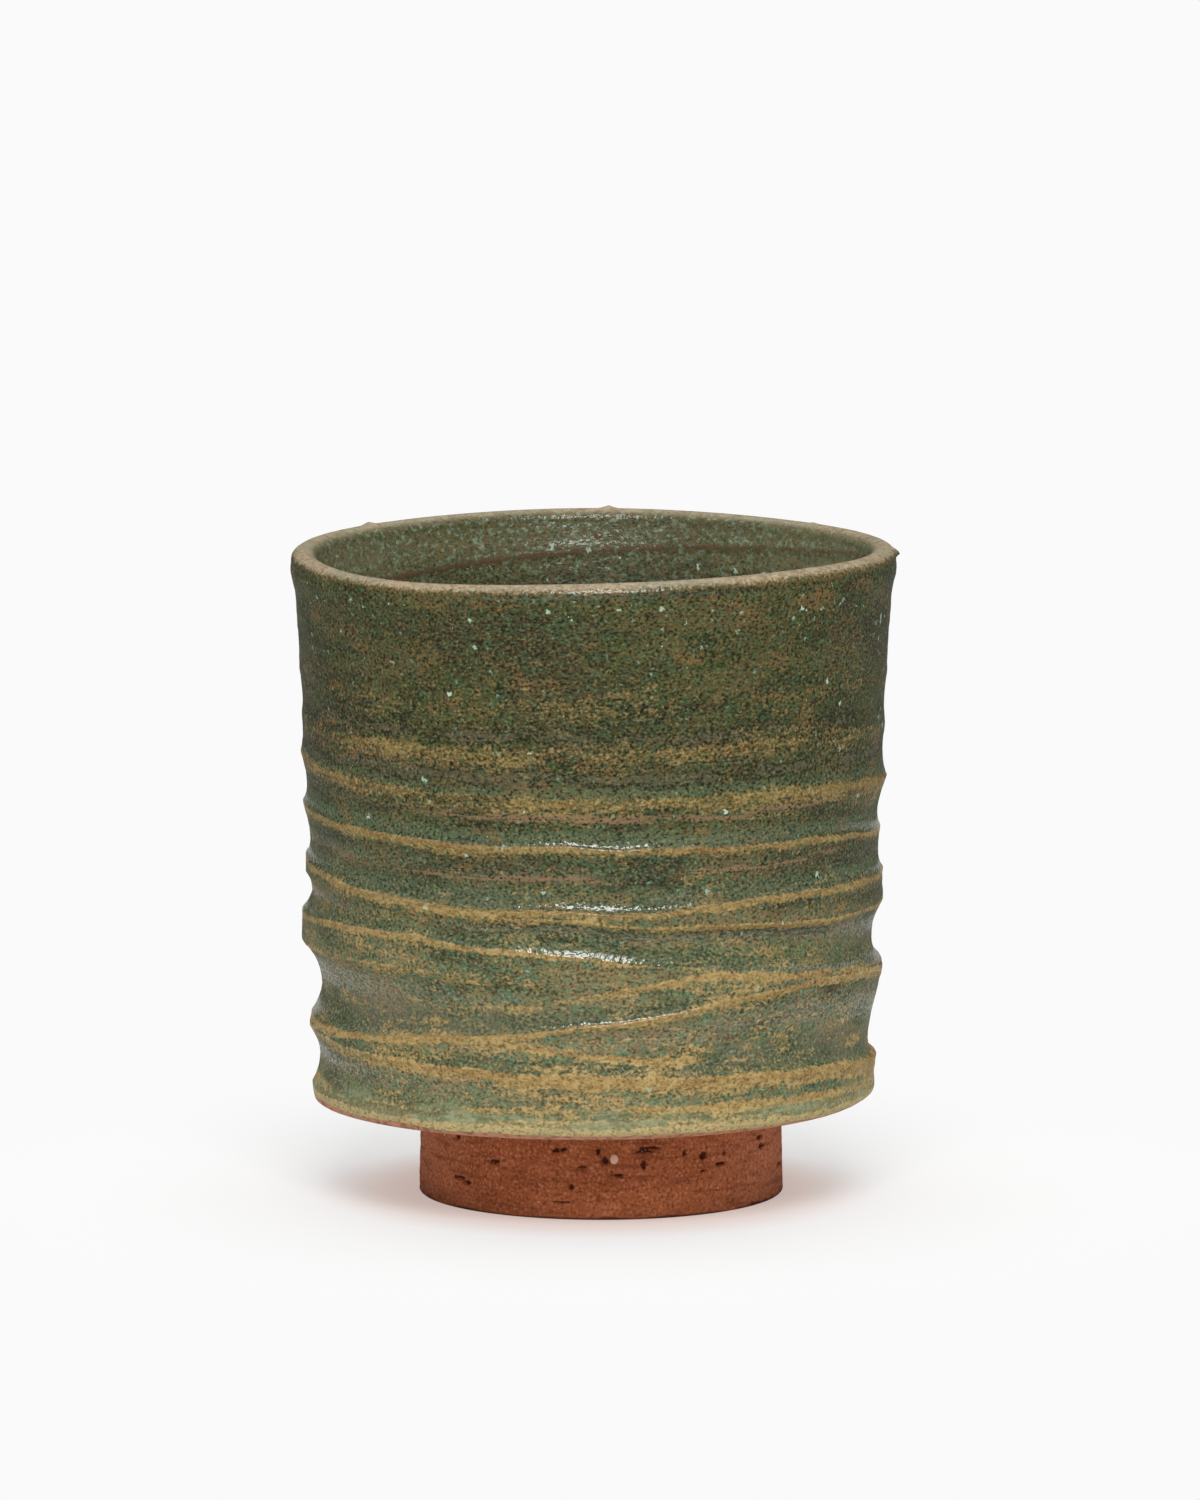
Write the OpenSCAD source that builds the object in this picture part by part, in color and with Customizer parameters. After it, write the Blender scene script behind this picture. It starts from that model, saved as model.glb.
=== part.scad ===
// Yunomi tea cup in stoneware: a thrown body with deep throwing ridges, a turned foot ring
// of bare clay, and a coat of glaze outside and inside.
// Millimetres, +Z up, the table at Z = 0, the middle of the body on the Z axis, the front at -Y.

/* [Cup] */
// Height from the table to the lip
cup_h = 87.2; // [80:0.1:96]
// Outside diameter across the lip
lip_d = 80.4; // [77:0.1:86]
// Outside diameter of the glazed wall where the ridges end and the smooth neck begins
neck_d = 78; // [75:0.1:82]
// Height from the lip down to the neck
neck_drop = 21; // [16:0.5:26]
// Outside diameter of the wall at its lower corner
base_d = 75.4; // [72:0.1:80]

/* [Clay wall and floor] */
// Thickness of the wall at the lip
lip_t = 3; // [2.4:0.1:4]
// Thickness of the wall at the floor, measured to the ridge crests
wall_t = 5.2; // [4.4:0.1:6.5]
// Thickness of the floor
floor_t = 6; // [4:0.5:9]
// Radius inside, between wall and floor
floor_fillet = 12; // [6:0.5:16]
// Rounding of the lower corner outside
corner_r = 1.8; // [1:0.1:3]
// Rounding of the lip's two edges
lip_round = 1.1; // [0.6:0.1:1.15]

/* [Throwing ridges] */
// Radius of the fingertip that pressed the flutes between the ridges
finger_r = 8; // [6:0.5:14]
// Deepest that a flute goes
flute_max = 2; // [0.5:0.1:2.4]

/* [Foot ring] */
// Outside diameter of the foot where it stands on the table
foot_d = 48.8; // [40:0.2:60]
// Height of the foot, table to the underside of the body
foot_h = 12.8; // [8:0.2:16]
// Width of the flat ring that stands on the table
foot_land = 4.2; // [3:0.2:7]
// Chamfer of the two edges at the table
foot_chamfer = 0.6; // [0.3:0.1:1.2]
// How much the foot narrows towards the body, on the radius
foot_draft = 0.3; // [0:0.1:1]
// Radius of the cove inside, between the ring and the floor
foot_cove = 3; // [1:0.5:5]
// How far the foot sits to the right of the middle of the body
foot_shift = 1; // [0:0.1:2]

/* [Glaze] */
// Thickness of the outer glaze on the ridge crests
crest_glaze_t = 0.35; // [0.2:0.05:0.6]
// Thickness of the outer glaze in the middle of a flute
flute_glaze_t = 0.8; // [0.3:0.05:1]
// Thickness of both coats at their upper and lower edges
edge_glaze_t = 0.15; // [0.1:0.01:0.2]
// Thickness of the inner glaze
inner_glaze_t = 0.5; // [0.3:0.05:0.8]
// Bare clay left at the lip, measured down from its top
bare_lip = 1.6; // [1.2:0.1:3]

/* [Hidden] */
$fn = 96;

// Columns round the wall, rows across each flute, steps up the inside and steps in a rounded edge
COLUMNS = 48;
FLUTE_ROWS = 4;
INSIDE_STEPS = 6;
ARC_STEPS = 3;
// How far a cut runs past the face that it opens
CUT = 1;

lip_r = lip_d / 2;
neck_r = neck_d / 2;
base_r = base_d / 2;
neck_z = cup_h - neck_drop;
corner_z = foot_h + corner_r;
glaze_top_z = cup_h - bare_lip;
floor_z = foot_h + floor_t;

// The throwing ridges from the lowest up. Each has its height above the lower corner at eight
// stations (right, back right, back, back left, left, front left, front, front right). At four of
// them (right, back, left, front) it has how far its crest stands out from the line of the wall,
// how hard the flute below it was pressed, and where across its width that flute is deepest.
// Ridges that run together share a height.
EVEN = [0.5, 0.5, 0.5, 0.5];
RIDGES = [
    // upper shoulder of the lowest band
    [[4, 3.5, 3.5, 3.5, 4, 7, 6.6, 5.5], [0, -0.2, -0.8, 0], [0.6, 0.6, 0.6, 0.6], EVEN],
    // long ridge that climbs across the front
    [
        [15.5, 13.2, 11.5, 10, 9.4, 10.4, 13.5, 17.6], [0.3, 0.1, -0.3, 0.1],
        [0.62, 1, 1, 1], [0.25, 0.5, 0.5, 0.5]
    ],
    // lower shoulder of the next ridge, which runs into the long one at the right
    [
        [16.1, 16, 17.5, 19, 19.8, 19.8, 19.5, 18.4], [0.3, 0.3, 0.5, 0],
        [1.5, 1.5, 1.5, 1.5], [0.5, 0.5, 0.5, 0.25]
    ],
    // that ridge itself, fading at the front
    [[16.8, 18.2, 21, 23, 23.6, 24.4, 22.6, 19.4], [0.2, 0.2, 0.4, -0.1], [0, 0, 0, 0], EVEN],
    // lower edge of the split ridge, parting from the upper one at the front
    [
        [25, 25.2, 26.5, 28.4, 29, 28.2, 27.4, 25.8], [0.1, 0, -0.2, 0],
        [1.4, 2, 2.4, 2.4], [0.43, 0.5, 0.5, 0.72]
    ],
    // upper edge of the split ridge
    [[29, 29.4, 30, 30.7, 31, 29.2, 28.7, 29.8], [0, 0, -0.2, 0], [0.3, 0.3, 0.3, 0.3], EVEN],
    [
        [34.8, 35.4, 36.4, 37.5, 38, 37.6, 37.4, 36.8], [-0.5, -0.2, 0, 0],
        [1, 1, 1, 1.1], [0.35, 0.35, 0.35, 0.25]
    ],
    [
        [41.6, 41.8, 42.8, 44.2, 45, 43.9, 43.6, 43.4], [0.3, 0, 0.2, 0],
        [0.9, 0.9, 0.9, 1], [0.4, 0.4, 0.4, 0.25]
    ],
    // faint ridge where the neck begins
    [
        [49, 48.6, 49, 49.6, 49.8, 49, 49.6, 50], [0, 0, 0, 0],
        [0.6, 0.6, 0.6, 0.6], [0.4, 0.4, 0.4, 0.4]
    ],
];
// How far the lower corner's underside reaches out at the eight stations: nearly sharp at the
// left, rounder at the right
CORNER_REACH = [-1.3, -0.7, 0, 0.8, 1.5, 1, 0.1, -1];

// Value at angle a on a smooth closed curve through equally spaced stations
function round_cup(stations, a) =
    let (
        n = len(stations),
        place = a / 360 * n,
        k = floor(place),
        t = place - k,
        before = stations[(k + n - 1) % n],
        from = stations[k % n],
        to = stations[(k + 1) % n],
        after = stations[(k + 2) % n]
    )
    from + t / 2 * (to - before
        + t * (2 * before - 5 * from + 4 * to - after
        + t * (3 * (from - to) + after - before)));

function between(low, high, t) = low + (high - low) * t;

// Radius of the glazed wall at height z, along the ridge crests: it swells from the lower
// corner to the neck and flares from there to the lip
function wall_radius(z) =
    z < neck_z
        ? neck_r - (neck_r - base_r) * pow((neck_z - z) / (neck_z - corner_z), 2)
        : neck_r + (lip_r - neck_r) * pow(min(1, (z - neck_z) / (glaze_top_z - neck_z)), 2);

// The lines that the wall is lofted through: the lower corner, the ridges and the glaze's top
LINES = len(RIDGES) + 2;
function line_z(i, a) =
    i == 0 ? corner_z
    : i == LINES - 1 ? glaze_top_z
    : corner_z + round_cup(RIDGES[i - 1][0], a);
function line_stand(i, a) =
    i == 0 || i == LINES - 1 ? 0 : round_cup(RIDGES[i - 1][1], a);
function line_press(i, a) =
    i == LINES - 2 ? 0 : round_cup(RIDGES[i][2], a);
function line_deepest(i, a) =
    i == LINES - 2 ? 0.5 : round_cup(RIDGES[i][3], a);

// Depth in mid flute: the hollow that the fingertip leaves across the width between two lines
function flute_depth(i, a) =
    let (width = line_z(i + 1, a) - line_z(i, a))
    min(flute_max, line_press(i, a) * width * width / (8 * finger_r));

// How hollow a flute is at share t of its width: 0 on its crests, 1 where it is deepest
function hollow(t, deepest) =
    let (s = t == 0 ? 0 : pow(t, ln(0.5) / ln(deepest)))
    4 * s * (1 - s);

// Thickness of the outer glaze, which fades at the coat's two edges
function glaze_t(i, t, a) =
    (i == 0 && t == 0) || i == LINES - 1
        ? edge_glaze_t
        : between(crest_glaze_t, flute_glaze_t, i == LINES - 2 ? 0 : hollow(t, line_deepest(i, a)));

// Point of the wall at share t between lines i and i + 1, under so many coats of glaze
function wall_point(i, t, a, coats) =
    let (
        top = min(i + 1, LINES - 1),
        z = between(line_z(i, a), line_z(top, a), t),
        stand = between(line_stand(i, a), line_stand(top, a), t),
        depth = i == LINES - 1 ? 0 : flute_depth(i, a) * hollow(t, line_deepest(i, a)),
        r = wall_radius(z) + stand - depth - coats * glaze_t(i, t, a)
    )
    [r * cos(a), r * sin(a), z];

// Rings of points round the wall, one for every row of every flute
function ring(i, t, coats) =
    [for (c = [0 : COLUMNS - 1]) wall_point(i, t, 360 * c / COLUMNS, coats)];
function wall_rings(coats) = [
    for (i = [0 : LINES - 2], row = [0 : FLUTE_ROWS - 1]) ring(i, row / FLUTE_ROWS, coats),
    ring(LINES - 1, 0, coats)
];
function level_ring(r, z) =
    [for (c = [0 : COLUMNS - 1]) [r * cos(360 * c / COLUMNS), r * sin(360 * c / COLUMNS), z]];

// Ring on the lower corner's rounding, from its underside at turn 0 to the wall at 90
function corner_ring(turn) = [
    for (c = [0 : COLUMNS - 1])
        let (
            a = 360 * c / COLUMNS,
            tuck = corner_r - round_cup(CORNER_REACH, a),
            r = base_r - edge_glaze_t - tuck * (1 - sin(turn))
        )
        [r * cos(a), r * sin(a), corner_z - corner_r * cos(turn)]
];

// Solid skinned over a stack of rings, closed by a cap on the first and the last
module skin_over_rings(rings) {
    last = len(rings) - 1;
    polyhedron(
        points = [for (r = rings, p = r) p],
        faces = concat(
            [[for (c = [0 : COLUMNS - 1]) c]],
            [[for (c = [0 : COLUMNS - 1]) last * COLUMNS + COLUMNS - 1 - c]],
            ring_faces(last, false)
        )
    );
}

// Triangles between neighbouring rings, and from the last ring back to the first if closed
function ring_faces(last, closed) = [
    for (k = [0 : closed ? last : last - 1], c = [0 : COLUMNS - 1])
        let (
            low = k * COLUMNS,
            high = ((k + 1) % (last + 1)) * COLUMNS,
            next = (c + 1) % COLUMNS
        )
        each [[low + c, high + c, high + next], [low + c, high + next, low + next]]
];

// Tube of rings that closes on itself, for a coat with an outside and an inside
module shell_over_rings(rings) {
    polyhedron(points = [for (r = rings, p = r) p], faces = ring_faces(len(rings) - 1, true));
}

// Radius of the clay's inside at height z: it follows the outside, and the wall thins to the lip
function inside_radius(z) =
    wall_radius(z) - between(wall_t, lip_t, (z - floor_z) / (cup_h - floor_z));

// Half section of the hollow up to the glaze's top, drawn in by the glaze on its floor and there
module hollow_section(floor_inset, top_inset) {
    low_z = floor_z + floor_inset;
    fillet_r = floor_fillet - floor_inset;
    wall_z = low_z + fillet_r;
    middle = [inside_radius(wall_z) - floor_inset - fillet_r, wall_z];
    wall = [
        for (step = [0 : INSIDE_STEPS])
            let (
                share = step / INSIDE_STEPS,
                z = between(wall_z, glaze_top_z, share)
            )
            [inside_radius(z) - between(floor_inset, top_inset, share), z]
    ];
    polygon(concat([[0, low_z], [middle[0], low_z], middle], wall, [[0, glaze_top_z]]));
    translate(middle)
        circle(fillet_r);
}

// Half section of the mouth above the glaze, which rounds the lip's inner edge
module mouth_section() {
    round_z = cup_h - lip_round;
    edge_r = inside_radius(round_z) + lip_round;
    polygon([
        [0, glaze_top_z],
        [inside_radius(glaze_top_z), glaze_top_z],
        [inside_radius(round_z), round_z],
        [0, round_z],
    ]);
    translate([0, round_z])
        difference() {
            square([edge_r, lip_round + CUT]);
            translate([edge_r, 0])
                circle(lip_round);
        }
}

// Thrown wall and floor: the ridged outside under the glaze, bare at the lip and the corner
module clay_body() {
    corner_rings = [for (step = [0 : ARC_STEPS - 1]) corner_ring(90 * step / ARC_STEPS)];
    lip_rings = [
        for (step = [0 : ARC_STEPS])
            let (turn = 90 * step / ARC_STEPS)
            level_ring(lip_r - lip_round * (1 - cos(turn)), cup_h - lip_round * (1 - sin(turn)))
    ];
    color("saddlebrown")
        difference() {
            skin_over_rings(concat(corner_rings, wall_rings(1), lip_rings));
            rotate_extrude() {
                hollow_section(0, 0);
                mouth_section();
            }
        }
}

// Ring of bare clay under the floor, standing on its flat land
module foot_ring() {
    out_r = foot_d / 2;
    in_r = out_r - foot_land - 2 * foot_chamfer;
    color("sienna")
        translate([foot_shift, 0, 0])
            rotate_extrude()
                difference() {
                    polygon([
                        [in_r, foot_chamfer],
                        [in_r + foot_chamfer, 0],
                        [out_r - foot_chamfer, 0],
                        [out_r, foot_chamfer],
                        [out_r - foot_draft, foot_h],
                        [in_r - foot_cove, foot_h],
                        [in_r - foot_cove, foot_h - foot_cove],
                        [in_r, foot_h - foot_cove],
                    ]);
                    translate([in_r - foot_cove, foot_h - foot_cove])
                        circle(foot_cove);
                }
}

// Coat of glaze on the outside of the wall
module outer_glaze() {
    outside = wall_rings(0);
    inside = wall_rings(1);
    last = len(inside) - 1;
    color("darkolivegreen")
        shell_over_rings(concat(outside, [for (k = [0 : last]) inside[last - k]]));
}

// Coat of glaze lining the wall and the floor
module inner_glaze() {
    color("olivedrab")
        rotate_extrude()
            difference() {
                hollow_section(0, 0);
                hollow_section(inner_glaze_t, edge_glaze_t);
            }
}

clay_body();
foot_ring();
outer_glaze();
inner_glaze();
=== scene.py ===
import math

import bpy
import numpy as np
from mathutils import Matrix, Vector


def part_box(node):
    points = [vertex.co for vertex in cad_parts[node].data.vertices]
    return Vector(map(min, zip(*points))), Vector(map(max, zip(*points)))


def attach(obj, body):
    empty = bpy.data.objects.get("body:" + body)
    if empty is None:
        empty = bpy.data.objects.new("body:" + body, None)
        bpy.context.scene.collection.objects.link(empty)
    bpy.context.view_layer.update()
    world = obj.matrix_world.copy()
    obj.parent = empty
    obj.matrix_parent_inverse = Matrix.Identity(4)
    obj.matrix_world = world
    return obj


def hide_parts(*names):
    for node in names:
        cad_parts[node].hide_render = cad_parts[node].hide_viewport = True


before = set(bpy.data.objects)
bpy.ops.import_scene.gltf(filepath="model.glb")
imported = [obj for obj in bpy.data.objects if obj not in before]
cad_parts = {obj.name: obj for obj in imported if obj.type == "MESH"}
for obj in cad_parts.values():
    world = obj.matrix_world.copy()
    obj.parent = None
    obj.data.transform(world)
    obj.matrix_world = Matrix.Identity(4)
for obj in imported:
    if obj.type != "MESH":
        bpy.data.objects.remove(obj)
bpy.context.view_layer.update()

# Thrown body: wall and floor of brown stoneware, thrown in one on the wheel. The potter's fingers
# pressed flutes into the outside and left ridges between them, which climb, part and run together.
# The clay stays bare at the lip and at the lower corner, and the glaze covers the rest.
MM = 0.001
COLUMNS = 360
turn = np.arange(COLUMNS) * 2 * math.pi / COLUMNS

body_low, body_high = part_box("clay_body")
glaze_low, glaze_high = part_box("outer_glaze")
lip_z = body_high.z
under_z = body_low.z
corner_z = glaze_low.z
glaze_top_z = glaze_high.z
neck_z = lip_z - 21 * MM
neck_radius = 39 * MM
base_radius = 37.7 * MM
lip_flare = 1.05 * MM
lip_roll = 0.5 * MM
roll_z = glaze_top_z - 1.4 * MM
roll_reach = 1.9 * MM
corner_round = corner_z - under_z
lip_thickness = 3 * MM
wall_thickness = 5.2 * MM
floor_z = under_z + 6 * MM
floor_fillet = 12 * MM
crest_coat = 0.35 * MM
flute_coat = 0.8 * MM
edge_coat = 0.12 * MM
lip_proud = 0.06 * MM
hem_taper = 1.5 * MM
lip_taper = 3 * MM
lip_room = 0.1 * MM
sway_margin = 4 * MM
pole_ring = 4 * MM
corner_inset = 4 * MM

# The ridges from the lowest up. Each has its rise above the lower corner at eight stations round
# the cup (right, back right, back, back left, left, front left, front, front right). At four of them
# (right, back, left, front) it has its stand out from the wall, the press on the flute below it as a
# share of a fingertip's own depth, and where that flute is deepest as a share of its width, which
# one ridge gives at all eight. One value alone holds all round. A pinch over 1 narrows the flute.
# Rises and stands are in millimetres.
RIDGES = [
    ([4, 3.5, 3.5, 5.5, 8, 7.4, 6.6, 5.5], [0, -0.2, 0, 0], [0.6, 0.7, 1.2, 0.6], [0.5], 1),
    ([15.5, 13.2, 11.5, 10, 9.4, 10.4, 13.5, 17.6], [0.3, 0.1, -0.3, 0.1],
     [0.62, 1, 1, 1], [0.25, 0.5, 0.5, 0.5], 1.1),
    ([16.1, 16, 17.5, 19, 19.8, 19.8, 19.5, 18.4], [0.3, 0.3, 0.5, 0], [1.5], [0.5, 0.5, 0.5, 0.22], 0.9),
    ([16.8, 18.2, 21, 23, 23.6, 24.4, 22.6, 19.4], [0.2, 0.2, 0.4, -0.1], [0], [0.5], 1),
    ([25, 25.2, 26.5, 28.4, 29, 28.2, 27.4, 25.8], [0.1, 0, -0.2, 0],
     [1.4, 2, 2.4, 2.4], [0.43, 0.5, 0.5, 0.5, 0.5, 0.47, 0.54, 0.75], 1),
    ([29, 29.4, 30, 30.7, 31, 29.2, 28.7, 29.8], [0, 0, -0.2, 0], [0.3], [0.5], 1),
    ([34.8, 35.4, 36.4, 37.5, 38, 37.6, 37.4, 36.8], [-0.5, -0.2, 0, 0],
     [1, 1, 1, 1.1], [0.35, 0.35, 0.35, 0.22], 1.2),
    ([41.6, 41.8, 42.8, 44.2, 45, 43.9, 43.6, 43.4], [0.3, 0, 0.2, 0],
     [0.9, 0.9, 0.9, 1], [0.4, 0.4, 0.4, 0.25], 1.2),
    ([49, 48.6, 49, 49.6, 49.8, 49, 49.6, 50], [0], [0.6], [0.4], 1.2),
    ([55.5, 55, 55.4, 56, 56.2, 55.8, 56, 56.4], [0], [0.25], [0.5], 1),
    ([63, 62.6, 62.4, 62.2, 62.6, 63, 63.4, 63.4], [0], [0.15], [0.5], 1),
]
FINGER_RADIUS = 8 * MM
DEEPEST_FLUTE = 2 * MM
# Wet glaze gathers low in a flute that was pressed firmly: where and how far it spreads, as shares
# of the flute's width. Rows of points crowd towards the crests.
LIGHT_PRESS = 0.2
FIRM_PRESS = 0.8
SAG_PLACE = 0.2
SAG_REACH = 0.2
CREST_CROWDING = 0.11


def around(stations):
    """Smooth closed curve through equally spaced stations, read at every column."""
    points = np.array(stations, float)
    place = np.arange(COLUMNS) * len(points) / COLUMNS
    step = np.floor(place).astype(int)
    part = place - step
    before, here, after, beyond = (points[(step + k) % len(points)] for k in (-1, 0, 1, 2))
    cubic = 3 * (here - after) + beyond - before
    square = 2 * before - 5 * here + 4 * after - beyond
    return here + part / 2 * (after - before + part * (square + part * cubic))


def ramp(value, low, high):
    """Straight climb from 0 at low to 1 at high, level beyond them."""
    return np.clip((value - low) / (high - low), 0, 1)


def lip_bulge(z):
    """How far the wall is rolled out under the lip at this height."""
    return lip_roll * np.exp(-(((z - roll_z) / roll_reach) ** 2))


def wall_radius(z):
    """Radius of the wall along its crests: swelling to the neck, flaring and rolled out under the lip."""
    below = np.maximum(neck_z - z, 0) / (neck_z - corner_z)
    flare = lip_flare * ramp(z, neck_z, glaze_top_z)
    return neck_radius - (neck_radius - base_radius) * below**2 + flare + lip_bulge(z)


def inside_radius(z):
    """Radius of the clay's inside, which follows the outside while the wall thins to the lip."""
    share = (z - floor_z) / (lip_z - floor_z)
    return wall_radius(z) - lip_bulge(z) - wall_thickness - (lip_thickness - wall_thickness) * share


rises, stands, presses, deepest_places, pinches = zip(*RIDGES)
line_z = np.array(
    [np.full(COLUMNS, corner_z)]
    + [corner_z + around(rise) * MM for rise in rises]
    + [np.full(COLUMNS, glaze_top_z)]
)
line_stand = np.array([around(stand) * MM for stand in ([0], *stands, [0])])
flute_press = np.array([around(press) for press in (*presses, [0])])
flute_deepest = np.array([around(place) for place in (*deepest_places, [0.5])])
flute_pinch = np.array([*pinches, 1.0])


def wall_rows(rows_per_flute):
    """Rows of points up the outside of the wall, with what each needs to have its flute pressed."""
    even = np.arange(rows_per_flute) / rows_per_flute
    crowded = even - CREST_CROWDING * np.sin(2 * math.pi * even)
    flute = np.append(np.repeat(np.arange(len(line_z) - 1), rows_per_flute), len(line_z) - 2)
    share = np.append(np.tile(crowded, len(line_z) - 1), 1.0)[:, None]
    low, high = line_z[flute], line_z[flute + 1]
    height = low + (high - low) * share
    stand = line_stand[flute] + (line_stand[flute + 1] - line_stand[flute]) * share
    spread = np.ones(COLUMNS)
    firm = ramp(flute_press[flute], LIGHT_PRESS, FIRM_PRESS)
    return dict(
        radius=wall_radius(height) + stand,
        height=height,
        share=share * spread,
        width=high - low,
        press=flute_press[flute],
        deepest=flute_deepest[flute],
        pinch=flute_pinch[flute][:, None] * spread,
        sag=firm * np.exp(-(((share - SAG_PLACE) / SAG_REACH) ** 2)),
        sway=ramp(np.minimum(height - corner_z, glaze_top_z - height), 0, sway_margin),
        over=np.zeros_like(height),
        skin=np.zeros_like(height),
    )


def coat_under(rows):
    """Thickness of the outer glaze on rows of the wall, thicker in the flutes and thin at its edges."""
    hollow = 4 * rows["share"] * (1 - rows["share"])
    coat = crest_coat + (flute_coat - crest_coat) * hollow
    coat = edge_coat + (coat - edge_coat) * ramp(rows["height"] - corner_z, 0, hem_taper)
    return (coat + lip_proud) * ramp(glaze_top_z - rows["height"], 0, lip_taper) - lip_proud


PLAIN_ROW = dict(share=0, width=0, press=0, deepest=0.5, pinch=1, sag=0, sway=0, over=0, skin=0)


def level_rows(radii, heights, **changed):
    """Plain rows round the axis, where no flute is pressed, apart from the values that are changed."""
    radius = np.outer(radii, np.ones(COLUMNS))
    plain = {key: np.full_like(radius, value) for key, value in {**PLAIN_ROW, **changed}.items()}
    return dict(radius=radius, height=np.outer(heights, np.ones(COLUMNS)), **plain)


def along_section(*parts):
    """Radii and heights of a section whose parts each give theirs."""
    return [np.concatenate(values) for values in zip(*parts)]


def stacked(*parts):
    """Rows put one after another, in the order that the section is walked."""
    return {name: np.concatenate([part[name] for part in parts]) for name in parts[0]}


# The rim is not level: how far it rises at the eight stations, in millimetres. The wall follows it
# from the neck up.
rim_wave = around([0, -0.3, 0, -0.35, -0.4, -0.9, 0.1, 0.5]) * MM


def waved(rows):
    """Rows whose mouth follows the rim's wave, with their height before it kept as their level."""
    mouth = ramp(rows["height"], neck_z, lip_z)
    return {**rows, "level": rows["height"], "height": rows["height"] + rim_wave * mouth * mouth}


def turned_piece(name, rows, closed):
    """Mesh through rows round the Z axis: a closed section, or one with a pole at both ends."""
    count, columns = rows["radius"].shape
    column = np.arange(columns)
    beside = (column + 1) % columns
    angle = column * 2 * math.pi / columns
    points = np.stack(
        [rows["radius"] * np.cos(angle), rows["radius"] * np.sin(angle), rows["height"]], axis=-1
    ).reshape(-1, 3)
    faces = []
    for row in range(count if closed else count - 1):
        low, high = row * columns, (row + 1) % count * columns
        faces += np.stack([low + column, low + beside, high + beside, high + column], 1).tolist()
    if not closed:
        poles = [[0, 0, rows["height"][0].mean()], [0, 0, rows["height"][-1].mean()]]
        points = np.concatenate([points, poles])
        first, last = len(points) - 2, len(points) - 1
        top = (count - 1) * columns
        faces += np.stack([np.full(columns, first), beside, column], 1).tolist()
        faces += np.stack([np.full(columns, last), top + column, top + beside], 1).tolist()
    mesh = bpy.data.meshes.new(name)
    mesh.from_pydata(points.tolist(), [], faces)
    for key, value in rows.items():
        if key not in ("radius", "height"):
            attribute = mesh.attributes.new(key, "FLOAT", "POINT")
            padded = np.append(value.ravel(), np.zeros(len(points) - value.size))
            attribute.data.foreach_set("value", padded.astype(np.float32))
    mesh.shade_smooth()
    piece = bpy.data.objects.new(name, mesh)
    bpy.context.scene.collection.objects.link(piece)
    return piece


class Wire:
    """One socket of a node tree. Sums on it add the nodes that work them out."""

    def __init__(self, tree, socket=None):
        self.tree = tree
        self.socket = socket

    def node(self, kind, settings=(), sockets=(), output=0):
        """Adds a node with these settings, then gives its sockets their values or links."""
        made = self.tree.nodes.new(kind)
        for name, value in dict(settings).items():
            setattr(made, name, value)
        for key, value in dict(sockets).items():
            if isinstance(value, Wire):
                self.tree.links.new(value.socket, made.inputs[key])
            else:
                made.inputs[key].default_value = value
        return Wire(self.tree, made.outputs[output]) if made.outputs else made

    def math(self, operation, *values):
        return self.node("ShaderNodeMath", {"operation": operation}, enumerate(values))

    def __add__(self, other):
        return self.math("ADD", self, other)

    def __radd__(self, other):
        return self.math("ADD", other, self)

    def __sub__(self, other):
        return self.math("SUBTRACT", self, other)

    def __rsub__(self, other):
        return self.math("SUBTRACT", other, self)

    def __mul__(self, other):
        return self.math("MULTIPLY", self, other)

    def __rmul__(self, other):
        return self.math("MULTIPLY", other, self)

    def __truediv__(self, other):
        return self.math("DIVIDE", self, other)

    def __rtruediv__(self, other):
        return self.math("DIVIDE", other, self)

    def __pow__(self, other):
        return self.math("POWER", self, other)

    def largest(self, other):
        return self.math("MAXIMUM", self, other)

    def smallest(self, other):
        return self.math("MINIMUM", self, other)

    def step(self, low, high):
        """Smooth step from 0 at low to 1 at high."""
        return self.node(
            "ShaderNodeMapRange",
            {"interpolation_type": "SMOOTHSTEP"},
            {"Value": self, "From Min": low, "From Max": high},
        )

    def field(self, name):
        """A value stored on the mesh, in a geometry tree."""
        return self.node("GeometryNodeInputNamedAttribute", {"data_type": "FLOAT"}, {"Name": name})

    def stored(self, name):
        """A value stored on the mesh, in a material."""
        return self.node("ShaderNodeAttribute", {"attribute_name": name}, output="Fac")

    def vector(self, operation, *values, output=0):
        return self.node("ShaderNodeVectorMath", {"operation": operation}, enumerate(values), output)

    def scaled(self, share):
        """This vector at a share of its length."""
        return self.node("ShaderNodeVectorMath", {"operation": "SCALE"}, {0: self, "Scale": share})

    def noise(self, size, across=1, up=1, seed=0, detail=2, roughness=0.5):
        """Noise with grains this many millimetres large, longer across or up for shares under 1."""
        scale = (across / (size * MM), across / (size * MM), up / (size * MM))
        place = self.vector("MULTIPLY_ADD", self, scale, (seed, 2.3 * seed, 5.1 * seed))
        return self.node(
            "ShaderNodeTexNoise",
            {},
            {"Vector": place, "Scale": 1.0, "Detail": detail, "Roughness": roughness},
        )


def new_tree(name, inputs):
    """Geometry tree with these named inputs beside its geometry, and a wire for each."""
    tree = bpy.data.node_groups.new(name, "GeometryNodeTree")
    tree.interface.new_socket("Geometry", in_out="OUTPUT", socket_type="NodeSocketGeometry")
    tree.interface.new_socket("Geometry", in_out="INPUT", socket_type="NodeSocketGeometry")
    for key in inputs:
        kind = "NodeSocketMaterial" if key == "Material" else "NodeSocketFloat"
        tree.interface.new_socket(key, in_out="INPUT", socket_type=kind)
    start = tree.nodes.new("NodeGroupInput")
    return {socket.name: Wire(tree, socket) for socket in start.outputs if socket.name}


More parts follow.
